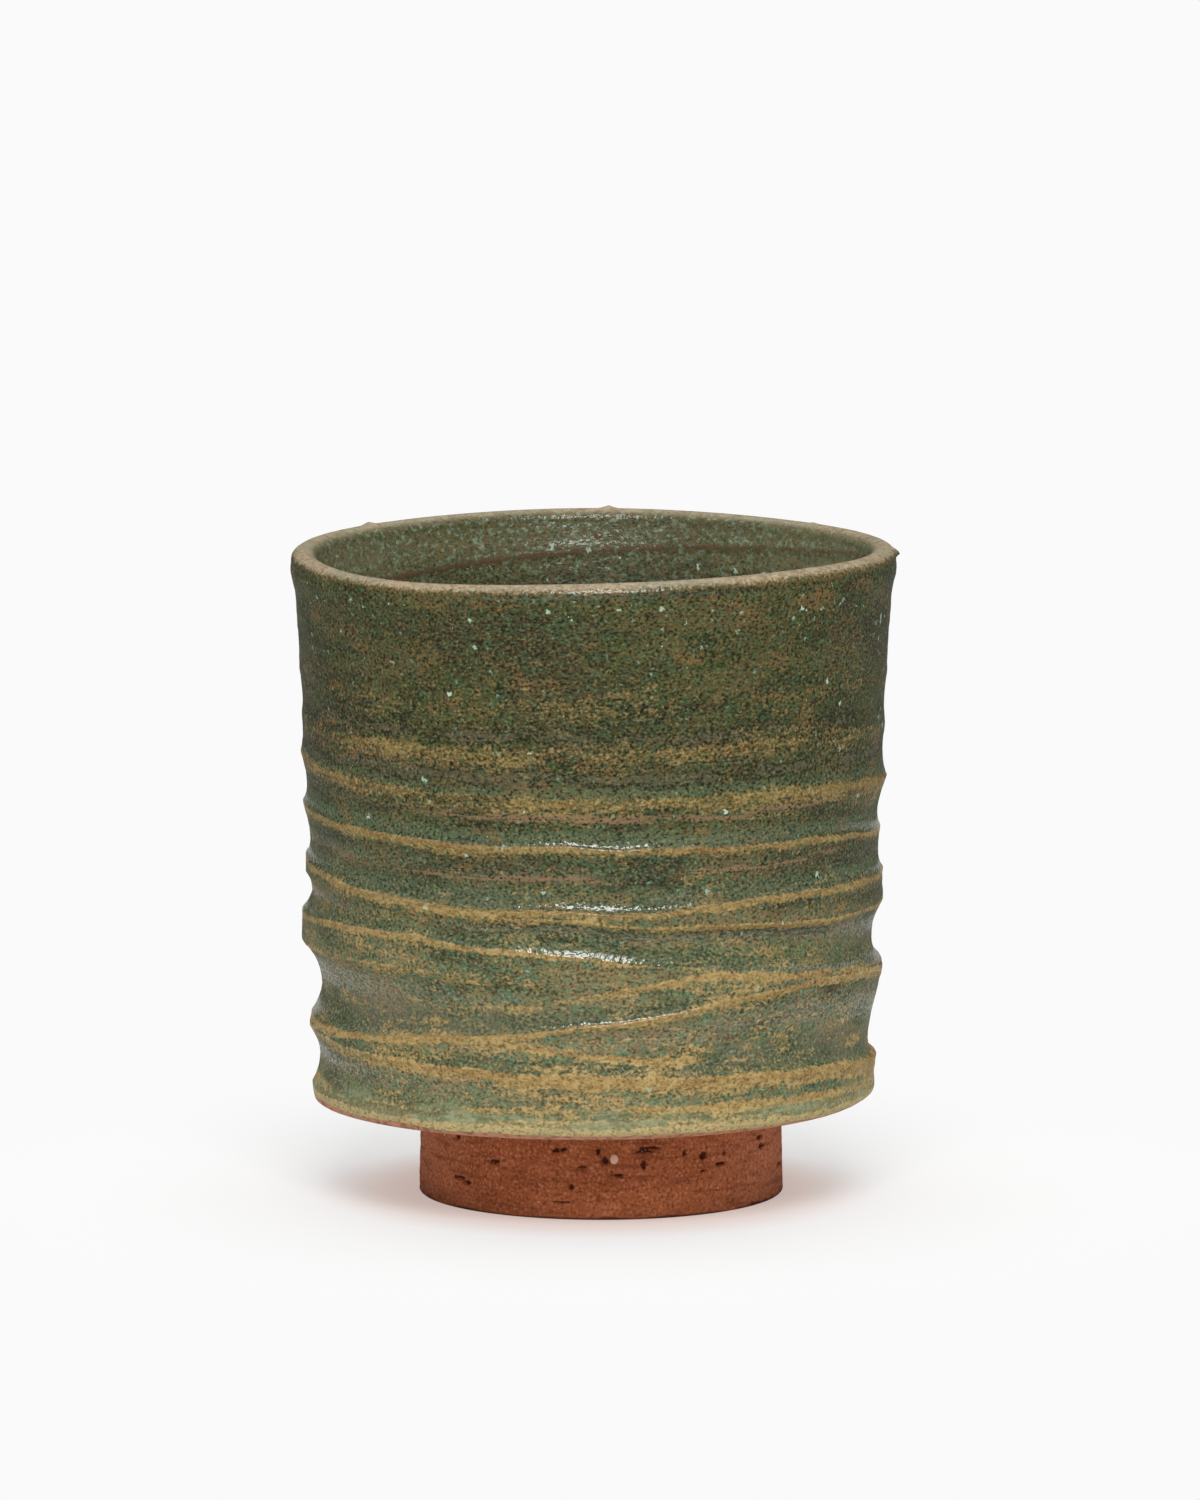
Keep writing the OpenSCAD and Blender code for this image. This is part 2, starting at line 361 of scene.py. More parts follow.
def end_tree(geometry, material):
    """Closes a tree: its instances become plain mesh and take their material."""
    plain = geometry.node("GeometryNodeRealizeInstances", {}, {"Geometry": geometry})
    covered = plain.node("GeometryNodeSetMaterial", {}, {"Geometry": plain, "Material": material})
    covered.node("NodeGroupOutput", {}, {0: covered})
    return geometry.tree


def moved_and_marked(geometry, offset, name, value):
    """Geometry with its points moved by an offset, and a value kept on them for the material."""
    moved = geometry.node("GeometryNodeSetPosition", {}, {"Geometry": geometry, "Offset": offset})
    return moved.node(
        "GeometryNodeStoreNamedAttribute",
        {"data_type": "FLOAT", "domain": "POINT"},
        {"Geometry": moved, "Name": name, "Value": value},
    )


def shaped_by(tree, piece, sizes):
    """Runs a tree on a piece with these inputs, and keeps the result as the piece's plain mesh."""
    modifier = piece.modifiers.new(tree.name, "NODES")
    modifier.node_group = tree
    for socket in tree.interface.items_tree:
        if socket.in_out == "INPUT" and socket.name in sizes:
            modifier[socket.identifier] = sizes[socket.name]
    depsgraph = bpy.context.evaluated_depsgraph_get()
    shaped = bpy.data.meshes.new_from_object(
        piece.evaluated_get(depsgraph), preserve_all_data_layers=True, depsgraph=depsgraph
    )
    piece.modifiers.remove(modifier)
    piece.data = shaped


LUMP_SIZE = 5
DRAG_SIZE = 1.3
SWAY_SIZE = 14


def fingers_tree():
    """Presses the flutes into a wall, each as deep as a fingertip leaves it across its width."""
    inputs = ["Finger radius", "Deepest flute", "Sway", "Lump height", "Drag height", "Seed", "Material"]
    wires = new_tree("Pressed by fingers", inputs)
    geometry = wires["Geometry"]
    place = geometry.node("GeometryNodeInputPosition")
    deepest = geometry.field("deepest")
    lean = math.log(0.5) / deepest.math("LOGARITHM", deepest, math.e)
    leaned = geometry.field("share") ** lean
    hollow = (4 * leaned * (1 - leaned)).largest(0.0) ** geometry.field("pinch")
    width = geometry.field("width")
    pressed = geometry.field("press") * width * width / (8 * wires["Finger radius"])
    depth = pressed.smallest(wires["Deepest flute"]) * hollow
    seed = geometry.node("ShaderNodeCombineXYZ", {}, {0: wires["Seed"]})
    moved = place.vector("ADD", place, seed)
    lumps = moved.noise(LUMP_SIZE, detail=3) - 0.5
    drag = moved.noise(DRAG_SIZE, across=0.05, seed=3, detail=3) - 0.5
    relief = lumps * wires["Lump height"] + drag * wires["Drag height"]
    outward = place.vector("NORMALIZE", place.vector("MULTIPLY", place, (1, 1, 0)))
    pushed = outward.scaled(geometry.field("skin") * relief - depth)
    sway = (moved.noise(SWAY_SIZE, seed=8) - 0.5) * wires["Sway"] * geometry.field("sway")
    offset = pushed.vector("ADD", pushed, pushed.node("ShaderNodeCombineXYZ", {}, {2: sway}))
    marked = moved_and_marked(geometry, offset, "pool", depth / wires["Deepest flute"])
    return end_tree(marked, wires["Material"])


pressed_by_fingers = fingers_tree()
PRESSING = {
    "Finger radius": FINGER_RADIUS,
    "Deepest flute": DEEPEST_FLUTE,
    "Sway": 1.6 * MM,
    "Lump height": 0.3 * MM,
    "Seed": 0.4,
}


def srgb(red, green, blue):
    """Linear colour, from the 0 to 255 values that it shows as."""
    parts = [value / 255 for value in (red, green, blue)]
    return (*[p / 12.92 if p <= 0.04045 else ((p + 0.055) / 1.055) ** 2.4 for p in parts], 1.0)


def paint(under, over, share):
    """Colour under with colour over laid on it by this share."""
    wire = next(item for item in (share, under, over) if isinstance(item, Wire))
    return wire.node("ShaderNodeMix", {"data_type": "RGBA"}, {0: share, 6: under, 7: over}, 2)


def layered(colour, layers):
    """Colour with layers laid on it one after another, each a wire or a colour as it shows, and its share."""
    for over, share in layers:
        colour = paint(colour, over if isinstance(over, Wire) else srgb(*over), share)
    return colour


def new_finish(name):
    """Material with its shader and a wire for places on the piece in metres."""
    material = bpy.data.materials.new(name)
    material.use_nodes = True
    shader = material.node_tree.nodes["Principled BSDF"]
    place = Wire(material.node_tree).node("ShaderNodeTexCoord", output="Object")
    return material, shader, place


def feed(shader, **wires):
    """Links what changes over a surface to the shader's sockets."""
    for key, wire in wires.items():
        wire.tree.links.new(wire.socket, shader.inputs[key.replace("_", " ")])


def relief_of(wire, height, strength, distance):
    """Bump from a height field, for the Normal socket."""
    return wire.node("ShaderNodeBump", {}, {"Height": height, "Strength": strength, "Distance": distance})


def dry_surface(shader, colour, grain, patch):
    """Gives a shader this colour on a dry, finely pitted surface."""
    relief = relief_of(grain, grain + patch * 1.5, 0.8, 0.16 * MM)
    shader.inputs["Specular IOR Level"].default_value = 0.1
    feed(shader, Base_Color=colour, Roughness=0.5 + grain * 0.2, Normal=relief)


def shining(material, dry, place, share, roughness, colour):
    """Mixes a shining copy of a dry finish into it by this share, with a gently rippled surface."""
    wet = place.tree.nodes.new("ShaderNodeBsdfPrincipled")
    wet.inputs["Roughness"].default_value = roughness
    wet.inputs["Specular IOR Level"].default_value = 0.8
    ripple = place.noise(0.6, seed=51, detail=1)
    feed(wet, Base_Color=colour, Normal=relief_of(ripple, ripple, 1.0, 0.15 * MM))
    ends = {0: share, 1: Wire(place.tree, dry.outputs[0]), 2: Wire(place.tree, wet.outputs[0])}
    mixed = place.node("ShaderNodeMixShader", {}, ends)
    place.tree.links.new(mixed.socket, material.node_tree.nodes["Material Output"].inputs["Surface"])


def distance_along(place, way):
    """How far a place lies from the cup's middle in a direction."""
    return place.vector("DOT_PRODUCT", place, way, output="Value")


def distance_aside(place):
    """How far a place lies to the left or the right of the cup's middle."""
    return distance_along(place.vector("ABSOLUTE", place), (1, 0, 0))


def glaze_colour(place, pools_and_shade=()):
    """Ash glaze in fine grains of green, olive, brown and teal over dark pits, paler towards the foot.

    Each layer has a colour at the top, one at the foot, and its share. Pools and painted shade lie under the
    grains.
    """
    low = place.stored("level").step(66 * MM, 20 * MM)
    grain = place.noise(0.36, across=0.8, seed=1, roughness=0.6)
    patch = place.noise(0.85, across=0.7, seed=4, detail=3, roughness=0.6)
    cloud = place.noise(5, across=0.4, seed=2, detail=4, roughness=0.6)
    band = place.noise(1.8, across=0.09, seed=17, detail=3, roughness=0.6)
    broad = place.noise(14, across=0.6, seed=61, detail=3, roughness=0.6)
    brown_and_teal = [
        ((84, 74, 46), (130, 114, 82), cloud.step(0.44, 0.62) * 0.8),
        ((40, 42, 28), (66, 72, 52), cloud.step(0.48, 0.34) * 0.8),
        ((46, 44, 30), (72, 72, 50), band.step(0.46, 0.32) * 0.65),
        ((56, 49, 33), (56, 49, 33), broad.step(0.52, 0.36) * (0.65 - 0.45 * low)),
        ((98, 80, 48), (104, 74, 42), patch.step(0.53, 0.66) * 0.4),
        ((66, 87, 59), (86, 118, 90), patch.step(0.5, 0.36) * (0.55 + 0.15 * low)),
    ]
    pale_grains_and_pits = [
        ((124, 122, 80), (164, 158, 120), grain.step(0.54, 0.68) * 0.45),
        ((18, 20, 9), (30, 34, 19), grain.step(0.47, 0.37) * (0.84 - 0.24 * low)),
    ]
    olive = paint(srgb(62, 67, 37), srgb(108, 110, 78), low)
    layers = [*brown_and_teal, *pools_and_shade, *pale_grains_and_pits]
    colour = layered(olive, [(paint(srgb(*top), srgb(*foot), low), share) for top, foot, share in layers])
    return colour, low, grain, patch, cloud


def lining_colour(colour, place, patch, grain):
    """The glaze's colour as it shows inside: soft blotches of teal, brown and ash, paler above its ledge,
    with painted shade deeper in the cup and painted light towards both sides and the right.
    """
    blotch = place.noise(0.7, across=0.8, seed=12, detail=4, roughness=0.65)
    above = place.stored("phase").step(0.95, 0.75)
    # Painted shade: deeper in the cup the glaze is painted darker and with fewer pale blotches.
    deep = place.stored("level").step(83 * MM, 76 * MM)
    # Painted light: the inside is painted paler towards both sides, and more so on the right.
    right = distance_along(place, (1, 0, 0)).step(12 * MM, 34 * MM)
    aside = distance_aside(place).step(20 * MM, 36 * MM)
    brown = place.stored("ledge") + (patch - 0.5) * 1.6 + (grain - 0.5) * 0.8
    return layered(colour, [
        ((112, 110, 78), 0.4 - 0.4 * deep),
        ((136, 134, 100), aside * 0.3 + right * 0.25),
        ((122, 104, 72), blotch.step(0.5, 0.34) * (0.6 - 0.2 * deep)),
        ((122, 136, 106), blotch.step(0.46, 0.68) * (0.8 - 0.3 * deep)),
        ((168, 178, 158), blotch.step(0.5, 0.74) * above * (1 - deep) * 0.4),
        ((40, 44, 28), patch.step(0.49, 0.37) * (0.3 + 0.3 * deep)),
        ((28, 30, 18), grain.step(0.45, 0.36) * (0.35 + 0.2 * deep)),
        ((92, 68, 48), brown.step(0.4, 1.0) * 0.85),
    ])


def burnt_lip(colour, place, grain, patch, cloud):
    """A glaze's colour with the lip's burnt clay laid over it between ragged lines, and the clay's share."""
    clay = layered(srgb(159, 144, 117), [
        ((127, 107, 82), patch.step(0.45, 0.62) * 0.7),
        ((196, 186, 162), grain.step(0.52, 0.72) * 0.4),
        ((132, 138, 114), cloud.step(0.54, 0.38) * 0.4),
        ((96, 74, 54), grain.step(0.46, 0.36) * 0.25),
    ])
    uneven = (cloud - 0.5) * 0.8 + (patch - 0.5) * 1.2 + (grain - 0.5) * 1.2
    ragged = place.stored("level") + uneven * MM
    outside = (place.stored("over") + uneven * 0.2).step(0.88, 0.62)
    fringe = ragged.step(glaze_top_z - 0.1 * MM, glaze_top_z + 0.8 * MM) * outside
    bare = ragged.step(glaze_top_z + 0.5 * MM, glaze_top_z + 1.2 * MM) * outside
    return layered(colour, [((112, 90, 52), fringe * 0.5), (clay, bare)]), bare


def lip_finish():
    """Burnt clay on the lip, glaze on both of its shoulders, and red clay under the lower corner."""
    material, shader, place = new_finish("lip_clay")
    glaze, _, grain, patch, cloud = glaze_colour(place)
    over = place.stored("over")
    glaze = paint(glaze, lining_colour(glaze, place, patch, grain), over.step(0.4, 0.6))
    colour, bare = burnt_lip(glaze, place, grain, patch, cloud)
    blotched = patch.step(0.45, 0.62)
    margin = paint(srgb(176, 126, 96), srgb(118, 78, 54), blotched * 0.7)
    red = paint(srgb(158, 92, 60), srgb(124, 66, 40), blotched * 0.6)
    out = place.vector("LENGTH", place.vector("MULTIPLY", place, (1, 1, 0)), output="Value")
    margin = paint(red, margin, out.step(33 * MM, 36 * MM))
    colour = paint(margin, colour, place.stored("level").step(14 * MM, 15 * MM))
    dry_surface(shader, colour, grain, patch)
    front = distance_along(place, (0, -1, 0)).step(33 * MM, 40 * MM)
    wet = over.step(0.35, 0.6).largest(front)
    shining(material, shader, place, wet * (0.4 - bare * 0.15) + front * 0.2, 0.2, colour)
    return material


FLUTE_ROWS = 7
clay_wall = wall_rows(FLUTE_ROWS)
clay_wall["radius"] = clay_wall["radius"] - coat_under(clay_wall)

UNDER_ROWS = 8
under_rows = level_rows(
    np.linspace(pole_ring, base_radius - corner_inset, UNDER_ROWS), np.full(UNDER_ROWS, under_z)
)

CORNER_ROWS = 6
corner_turn = np.linspace(0, math.pi / 2, CORNER_ROWS + 1)[:-1]
corner_tuck = around([-1.3, -0.7, 0, 0.8, 1.5, 1, 0.1, -1]) * MM
corner_rows = level_rows(
    base_radius - edge_coat - corner_round * (1 - np.sin(corner_turn)),
    corner_z - corner_round * np.cos(corner_turn),
    skin=1,
)
corner_rows["radius"] = corner_rows["radius"] + corner_tuck * (1 - np.sin(corner_turn))[:, None]

LIP_ROWS = 22
LIP_SQUARE = 2.0 / 2.1
lip_inner = float(inside_radius(glaze_top_z))
lip_outer = float(wall_radius(glaze_top_z)) + lip_proud
lip_middle = (lip_outer + lip_inner) / 2
lip_turn = np.linspace(0, math.pi, LIP_ROWS + 2)[1:-1]
lip_across = np.sign(np.cos(lip_turn)) * np.abs(np.cos(lip_turn)) ** LIP_SQUARE
lip_rows = level_rows(
    lip_middle + (lip_outer - lip_inner) / 2 * lip_across,
    glaze_top_z + (lip_z - lip_room - glaze_top_z) * np.sin(lip_turn) ** LIP_SQUARE,
    over=lip_turn[:, None] / math.pi,
    skin=1,
)

FILLET_ROWS = 10
INSIDE_ROWS = 15
fillet_turn = np.linspace(0, math.pi / 2, FILLET_ROWS)
fillet_z = floor_z + floor_fillet
fillet_middle = float(inside_radius(fillet_z)) - floor_fillet
inner_z = np.linspace(glaze_top_z, fillet_z, INSIDE_ROWS + 1)[:-1]
inside_section = along_section(
    (inside_radius(inner_z), inner_z),
    (fillet_middle + floor_fillet * np.cos(fillet_turn), fillet_z - floor_fillet * np.sin(fillet_turn)),
    ([pole_ring], [floor_z]),
)
clay_inside = level_rows(*inside_section, over=1)

# Grit in the lip that stands out of it: the angle round the cup and over the lip, in degrees,
# then its height and its reach in millimetres.
LIP_GRIT = [
    (87, 90, 0.4, 1.5), (141, 80, 0.35, 1.6), (1, 4, 0.5, 1.8), (276, 150, 0.25, 1.4),
    (318, 60, 0.2, 1.5), (205, 70, 0.2, 1.6), (40, 100, 0.2, 1.2),
]


def turned_from(start, angles):
    """Angles measured from a start, the shorter way round."""
    return (angles - start + math.pi) % (2 * math.pi) - math.pi


for angle, over, height, reach in LIP_GRIT:
    across = turned_from(math.radians(angle), turn) * lip_middle
    along = (lip_turn - math.radians(over))[:, None] * lip_thickness / 2
    swell = height * MM * np.exp(-(across**2 + along**2) / (reach * MM / 2) ** 2)
    lip_rows["radius"] = lip_rows["radius"] + swell * np.cos(lip_turn)[:, None]
    lip_rows["height"] = lip_rows["height"] + swell * np.sin(lip_turn)[:, None]

body_rows = stacked(under_rows, corner_rows, clay_wall, lip_rows, clay_inside)
thrown_body = turned_piece("thrown_body", waved(body_rows), closed=False)
shaped_by(
    pressed_by_fingers, thrown_body, {**PRESSING, "Drag height": 0.1 * MM, "Material": lip_finish()}
)
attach(thrown_body, "root")
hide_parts("clay_body")

# Foot ring: bare red-brown clay, turned from the leather-hard body with a tool that dragged grit
# across it and tore out pits. It stands on its flat land, a little to the right of the middle.
foot_low, foot_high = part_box("foot_ring")
foot_middle = (foot_low.x + foot_high.x) / 2
foot_radius = foot_high.y
foot_land = 4.2 * MM
foot_edge = 0.35 * MM
foot_draft = 0.3 * MM
foot_cove = 3 * MM
foot_taper = 1.2 * MM
foot_inner = foot_radius - foot_land - foot_taper
worn_from = 0.05 * MM
worn_fade = 0.4 * MM
chip_height = 0.9 * MM

FOOT_COLUMNS = 900
LAND_ROWS = 8
FOOT_WALL_ROWS = 63
RECESS_ROWS = 10
foot_turn = np.arange(FOOT_COLUMNS) * 2 * math.pi / FOOT_COLUMNS
edge_turn = np.linspace(0, math.pi / 2, 5)
inner_edge_turn = edge_turn[:-1]
cove_turn = np.linspace(0, math.pi / 2, 6)
land = np.linspace(foot_inner + foot_edge, foot_radius - foot_edge, LAND_ROWS + 1)[:-1]
foot_wall = np.linspace(foot_edge, foot_high.z, FOOT_WALL_ROWS + 1)[1:]
recess = np.linspace(foot_high.z - foot_cove, foot_edge, RECESS_ROWS + 2)[1:-1]
foot_section = along_section(
    (land, np.zeros(LAND_ROWS)),
    (foot_radius - foot_edge * (1 - np.sin(edge_turn)), foot_edge * (1 - np.cos(edge_turn))),
    (foot_radius - foot_draft * foot_wall / foot_high.z, foot_wall),
    (foot_inner - foot_cove * (1 - np.sin(cove_turn)), foot_high.z - foot_cove * (1 - np.cos(cove_turn))),
    (np.full(RECESS_ROWS, foot_inner), recess),
    (foot_inner + foot_edge * (1 - np.cos(inner_edge_turn)), foot_edge * (1 - np.sin(inner_edge_turn))),
)
foot_out, foot_up = (np.outer(values, np.ones(FOOT_COLUMNS)) for values in foot_section)
foot_rows = dict(
    radius=foot_out,
    height=foot_up,
    worn=ramp(foot_up - worn_from, 0, worn_fade) * ramp(foot_high.z - foot_up, 0, worn_fade),
    edge=ramp(chip_height - foot_up, 0, chip_height),
)

# Marks torn into the front of the foot: how far right of its middle and how high, then half the
# length and half the height, in millimetres. They come again at the back, where each is turned by
# one of two angles. A pale stone stands beside the largest pit.
FOOT_MARKS = [
    (-19.3, 9.6, 0.6, 0.5), (-14.4, 7.1, 1.2, 0.3), (-19, 4.2, 1.6, 0.3), (-18, 3.7, 0.9, 0.3),
    (-6.1, 9.2, 0.6, 0.45), (-5, 9.4, 0.6, 0.35), (-0.4, 9.2, 0.35, 0.5), (0.7, 8, 0.75, 0.6),
    (6.4, 9.5, 2.3, 0.25), (5.8, 9.1, 1.8, 0.22), (5.7, 7.4, 0.45, 0.8), (11.2, 8.6, 0.4, 0.45),
    (13.8, 7.9, 0.75, 0.65), (13.7, 5.9, 0.5, 0.22), (16.6, 7.9, 0.4, 0.3), (16, 6.6, 1.2, 0.25),
    (21.4, 9, 1, 0.4), (21.6, 7.8, 1, 0.45), (-4, 4.4, 0.5, 0.4), (-5.3, 2.3, 1.6, 0.2),
    (-2.5, 7.1, 0.9, 0.22), (2.4, 6, 1, 0.2),
]
FOOT_STONE = (1.75, 8.2, 0.6, 0.7)
BACK_TURNS = [math.radians(130), math.radians(205)]
foot_outside = foot_out > foot_radius - foot_land / 2


def foot_spot(right, high, half_length, half_height, turned=0.0):
    """How strongly a mark shows at each point of the foot's outside, once turned round by this angle."""
    at = math.asin(right * MM / foot_radius) - math.pi / 2 + turned
    along = turned_from(at, foot_turn) * foot_radius / (half_length * MM)
    up = (foot_up - high * MM) / (half_height * MM)
    return foot_outside * np.exp(-(along**2 + up**2))


front_marks = [foot_spot(*mark) for mark in FOOT_MARKS]
back_marks = [foot_spot(*mark, BACK_TURNS[count % 2]) for count, mark in enumerate(FOOT_MARKS)]
foot_rows["stone"] = foot_spot(*FOOT_STONE)
foot_rows["mark"] = np.max(front_marks + back_marks, axis=0) * (1 - ramp(foot_rows["stone"], 0, 0.5))


PORE_SPACING = 1.3
GRIT_SPACING = 1.9


def turning_tree():
    """Tears the pits, drag marks and chipped edge of a turned foot into its surface."""
    inputs = ["Mark depth", "Pit depth", "Drag depth", "Lump height", "Stone height", "Chip", "Material"]
    wires = new_tree("Torn by the turning tool", inputs)
    geometry = wires["Geometry"]
    place = geometry.node("GeometryNodeInputPosition")
    pores = place.node("ShaderNodeTexVoronoi", {}, {"Vector": place, "Scale": 1 / (PORE_SPACING * MM)})
    pits = (place.noise(2.6, seed=7).step(0.5, 0.75) * 0.22 - pores).step(0.0, 0.08)
    shred = place.noise(0.55, seed=13, detail=3, roughness=0.6) - 0.5
    mark = geometry.field("mark")
    torn_out = (mark + shred * 1.2).step(0.42, 0.62) * mark.step(0.05, 0.2)
    drags = place.noise(0.7, across=0.2, seed=2).step(0.68, 0.78)
    lumps = place.noise(1.6, seed=5, detail=5, roughness=0.7) - 0.5
    chips = place.noise(1.1, up=0.2, seed=9, detail=3).step(0.46, 0.66)
    stone = geometry.field("stone").step(0.25, 0.6)
    depth = torn_out * wires["Mark depth"] + pits * wires["Pit depth"] + drags * wires["Drag depth"]
    lift = lumps * wires["Lump height"] - depth + stone * wires["Stone height"]
    lift = lift - geometry.field("edge") * chips * wires["Chip"]
    normal = geometry.node("GeometryNodeInputNormal")
    offset = normal.scaled(geometry.field("worn") * lift)
    marked = moved_and_marked(geometry, offset, "pit", depth / wires["Mark depth"])
    return end_tree(marked, wires["Material"])


def foot_finish():
    """Red-brown clay: mottled, darker towards the floor, with painted shade in its pits, a painted contact
    shadow at the floor, paler towards both sides as painted light, and pale grains of grit.
    """
    material, shader, place = new_finish("red_clay")
    cloud = place.noise(5, detail=3)
    grain = place.noise(0.4, seed=1)
    streak = place.noise(0.8, across=0.15, seed=6, detail=3)
    rise = distance_along(place, (0, 0, 1))
    # Painted contact shadow: a ragged dark line just above the floor.
    painted_contact_shadow = (rise + (cloud - 0.5) * 1.2 * MM + (grain - 0.5) * 0.6 * MM).step(0.4 * MM, 0.15 * MM)
    cells = place.node("ShaderNodeTexVoronoi", {}, {"Vector": place, "Scale": 1 / (GRIT_SPACING * MM)})
    grit = (place.noise(GRIT_SPACING, seed=11) * 0.34 - 0.12 - cells).step(0.0, 0.05)
    colour = layered(srgb(169, 97, 61), [
        ((157, 87, 50), cloud.step(0.35, 0.65)),
        # Painted light: the foot is painted paler towards both sides, as though lit from them.
        ((196, 124, 88), distance_aside(place).step(13 * MM, 24 * MM) * 0.5),
        ((108, 52, 28), grain.step(0.5, 0.72) * 0.8),
        ((204, 136, 98), grain.step(0.46, 0.3) * 0.65),
        ((116, 58, 34), streak.step(0.52, 0.68) * 0.55),
        # Painted shade: the torn pits are darkened.
        ((52, 22, 13), place.stored("pit").step(0.2, 0.9) * 0.85),
        ((88, 48, 28), rise.step(3.5 * MM, 0.3 * MM) * 0.3),
        # Painted contact shadow along the floor.
        ((58, 26, 16), painted_contact_shadow * rise.step(0.0, 0.06 * MM) * 0.8),
        ((214, 178, 150), grit * 0.85),
        ((216, 182, 158), place.stored("stone").step(0.35, 0.55)),
    ])
    shader.inputs["Specular IOR Level"].default_value = 0.2
    relief = relief_of(grain, grain, 0.6, 0.12 * MM)
    feed(shader, Base_Color=colour, Roughness=0.75 + grain * 0.2, Normal=relief)
    return material


turned_foot = turned_piece("turned_foot", foot_rows, closed=True)
shaped_by(
    turning_tree(),
    turned_foot,
    {
        "Mark depth": 0.5 * MM,
        "Pit depth": 0.3 * MM,
        "Drag depth": 0.18 * MM,
        "Lump height": 0.4 * MM,
        "Stone height": 0.25 * MM,
        "Chip": 0.6 * MM,
        "Material": foot_finish(),
    },
)
turned_foot.data.transform(Matrix.Translation((foot_middle, 0, 0)))
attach(turned_foot, "root")
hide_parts("foot_ring")

# Outer glaze: a satin ash glaze poured over the outside. It breaks to ochre where it ran thin over
# the ridges, pools green and grey in the flutes, the grey partly a painted sheen, and carries pale teal
# specks.
HEM_ROWS = 8
skin_fade = 1 * MM
# The hem starts on a ragged line round the lower corner, in degrees from straight down.
HEM_ANGLE = 52
hem_waves = 5 * around([0, 1, -1, 0.5, -0.5, 1, 0] * 5) + 4 * around([0, 1, -1] * 13)
hem_start = np.radians(HEM_ANGLE + hem_waves)


def hem_rows(coat):
    """Rows of the glaze's hem, which wraps the lower corner, this far out from the clay."""
    up = np.arange(HEM_ROWS)[:, None] / HEM_ROWS
    round_corner = hem_start + (math.pi / 2 - hem_start) * up
    thin = coat * (0.15 + 0.85 * up)
    rows = level_rows(np.zeros(HEM_ROWS), np.zeros(HEM_ROWS))
    rows["radius"] = base_radius - edge_coat + thin * np.sin(round_corner)
    rows["radius"] += (corner_tuck - corner_round) * (1 - np.sin(round_corner))
    rows["height"] = corner_z - (corner_round + thin) * np.cos(round_corner)
    return rows


def turned_over(rows):
    """The same rows walked the other way, for the back of a coat."""
    return {key: value[::-1] for key, value in rows.items()}


outer_rows = stacked(hem_rows(edge_coat), wall_rows(2 * FLUTE_ROWS))
outer_rows["skin"] = np.where(outer_rows["height"] < glaze_top_z - skin_fade, 1.0, outer_rows["sway"])
outer_under = wall_rows(FLUTE_ROWS)
outer_under["radius"] = outer_under["radius"] - np.maximum(coat_under(outer_under), lip_proud)
outer_rows = stacked(outer_rows, turned_over(stacked(hem_rows(0), outer_under)))

# Where the glaze breaks to ochre along each ridge but the topmost, from the lowest up: its strength at
# the ridges' eight stations, and how far it reaches above and below the line, in millimetres.
OCHRE_RIDGES = [
    ([0.9, 0.7, 0.7, 0.7, 0.5, 0.7, 0.75, 0.9], 0.5, 1.9),
    ([1, 0.9, 0.8, 0.8, 1, 1, 0.9, 1], 0.25, 0.8),
    ([0.4, 0.5, 0.5, 0.5, 0.4, 0.5, 0.4, 0.3], 0.6, 1.2),
    ([0.3, 0.6, 0.8, 0.9, 0.9, 1, 0.8, 0.2], 0.25, 0.7),
    ([0.9, 0.7, 0.4, 0.2, 0.1, 0.3, 0.7, 0.9], 0.4, 0.6),
    ([1, 0.9, 0.8, 0.8, 0.9, 1, 0.8, 0.9], 0.25, 0.75),
    ([0.9, 0.8, 0.8, 0.8, 0.9, 1, 0.8, 0.8], 0.25, 0.95),
    ([0.7, 0.6, 0.6, 0.6, 0.65, 0.55, 0.5, 0.6], 0.9, 2.2),
    ([0.25, 0.3, 0.3, 0.3, 0.3, 0.5, 0.45, 0.4], 2, 2),
    ([0.15, 0.2, 0.2, 0.2, 0.18, 0.22, 0.22, 0.2], 2.4, 2.4),
]
# Bands between the ridges: their rise above the lower corner in millimetres, and then the same, at
# sixteen stations from the right, the first half behind. Streaks are ochre, scores are bare lines
# through the glaze, and creases are where it dried grey, edged with a painted shadow.
OCHRE_STREAKS = [
    ([-0.5, -0.3] * 8, [1, 0.8, 0.9, 0.7] * 4, 0.5, 1.5),
    ([0.9, 1.2, 1.5, 1.1] * 4, [0.7, 0.3, 0.6, 0.4] * 4, 0.3, 0.35),
    ([2] * 8 + [1.5, 1.2, 1.6, 2, 2.6, 2.4, 2.2, 1.8],
     [0.6] * 8 + [0.7, 0.5, 0.3, 0.6, 0.5, 0.8, 0.9, 0.9], 0.5, 0.8),
    ([8] * 8 + [8, 9, 10.5, 11.2, 9.4, 8.6, 8, 8],
     [0.4] * 8 + [0.4, 0.5, 0.5, 0.7, 0.9, 0.6, 0.3, 0.2], 0.5, 0.7),
    ([15] * 8 + [14, 14, 14.5, 15.6, 17.6, 20, 19, 17.6],
     [0.4] * 8 + [0.2, 0.4, 0.5, 0.6, 0.7, 0.9, 0.9, 0.6], 0.5, 0.8),
]
SCORES = [
    ([41] * 8 + [42.2, 42, 41.9, 41.7, 41.5, 41.4, 41.6, 41],
     [0.4] * 8 + [0, 0.3, 0.6, 0.9, 1, 0.9, 0.7, 0.2], 0.5, 0.7),
    ([33.5] * 8 + [34.3, 34, 33.6, 33.1, 33.3, 34, 34.4, 34.6],
     [0.4] * 8 + [0.8, 0.8, 0.8, 0.9, 1, 0.9, 0.8, 0.5], 0.4, 0.5),
    ([12] * 8 + [12, 12, 12, 12, 12.4, 12.7, 12.6, 12],
     [0.3] * 8 + [0, 0, 0, 0.1, 0.7, 0.7, 0.2, 0], 0.3, 0.4),
]
